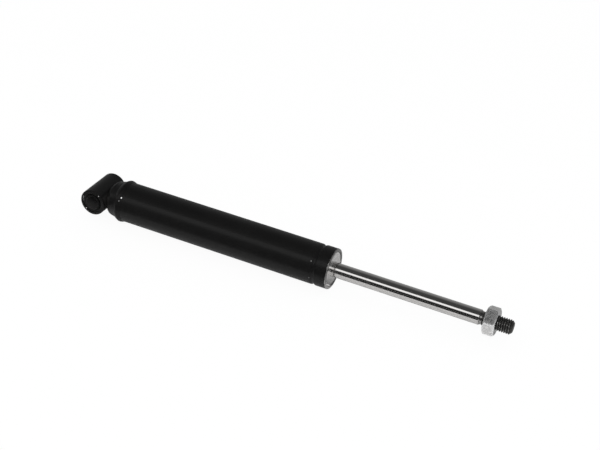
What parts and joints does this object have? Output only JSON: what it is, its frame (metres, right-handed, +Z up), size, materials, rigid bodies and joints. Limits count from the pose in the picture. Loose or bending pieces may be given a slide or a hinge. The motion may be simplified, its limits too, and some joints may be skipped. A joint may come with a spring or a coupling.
{
  "type": "shock absorber",
  "caption": "Telescopic shock absorber: black tube with a cross eye welded to its base, a plated rod that slides in and out, and a threaded stud with a hexagon nut at the rod's end.",
  "frame": {"origin": "centre of the bore of the eye at the base", "axes": "+X along the damper from the eye to the stud, +Y along the eye's bore, +Z up as it lies"},
  "size_m": [0.3105, 0.03, 0.0298],
  "materials": {
    "black_paint": "gloss",
    "sleeve_paint": "satin",
    "bush_rubber": "matte",
    "seal_rubber": "matte",
    "cover_steel": "satin",
    "rod_chrome": "polished",
    "nut_zinc": "satin",
    "inner_steel": "satin",
    "spring_steel": "satin",
    "sintered_iron": "matte",
    "bush_bronze": "satin",
    "band_plastic": "matte"
  },
  "bodies": {
    "barrel": {"eye_ring": "black_paint", "eye_weld": "black_paint", "base_cap": "black_paint", "base_weld": "black_paint", "reserve_tube": "black_paint", "eye_bush": "bush_rubber", "rod_seal": "seal_rubber", "guide_o_ring": "seal_rubber", "end_cover": "cover_steel", "pressure_tube": "inner_steel", "foot_valve_bolt": "inner_steel", "foot_valve_nut": "inner_steel", "foot_check_spring": "spring_steel", "compression_disc_large": "spring_steel", "compression_disc_middle": "spring_steel", "compression_disc_small": "spring_steel", "seal_spring": "spring_steel", "foot_valve_body": "sintered_iron", "rod_guide": "sintered_iron", "guide_bush": "bush_bronze"},
    "rod": {"piston_rod": "rod_chrome", "stud_nut": "nut_zinc", "stop_ring": "inner_steel", "rebound_bumper": "bush_rubber", "check_stop_washer": "inner_steel", "piston_check_spring": "spring_steel", "piston": "sintered_iron", "rebound_disc_large": "spring_steel", "rebound_disc_middle": "spring_steel", "rebound_disc_small": "spring_steel", "disc_backing": "inner_steel", "piston_nut": "inner_steel"},
    "sleeve": {"eye_sleeve": "sleeve_paint"},
    "band": {"piston_band": "band_plastic"},
    "piston_check": {"piston_check_plate": "spring_steel"},
    "foot_check": {"foot_check_plate": "spring_steel"}
  },
  "joints": [
    {"name": "rod_slide", "type": "slide", "parent": "barrel", "child": "band", "axis": [1, 0, 0], "range_m": [-0.09, 0]},
    {"name": "rod_spin", "type": "hinge", "parent": "band", "child": "rod", "pos_m": [0.137, 0, 0], "axis": [1, 0, 0], "continuous": true},
    {"name": "eye_pivot", "type": "hinge", "parent": "barrel", "child": "sleeve", "pos_m": [0, 0, 0], "axis": [0, 1, 0], "range_deg": [-15, 15], "stiffness_Nm_per_rad": 5},
    {"name": "piston_check_lift", "type": "slide", "parent": "rod", "child": "piston_check", "axis": [1, 0, 0], "range_m": [0, 0.0008], "stiffness_N_per_m": 400, "springref_m": -0.0003, "deforming": ["piston_check_spring"]},
    {"name": "foot_check_lift", "type": "slide", "parent": "barrel", "child": "foot_check", "axis": [1, 0, 0], "range_m": [0, 0.0008], "stiffness_N_per_m": 400, "springref_m": -0.0003, "deforming": ["foot_check_spring"]}
  ]
}
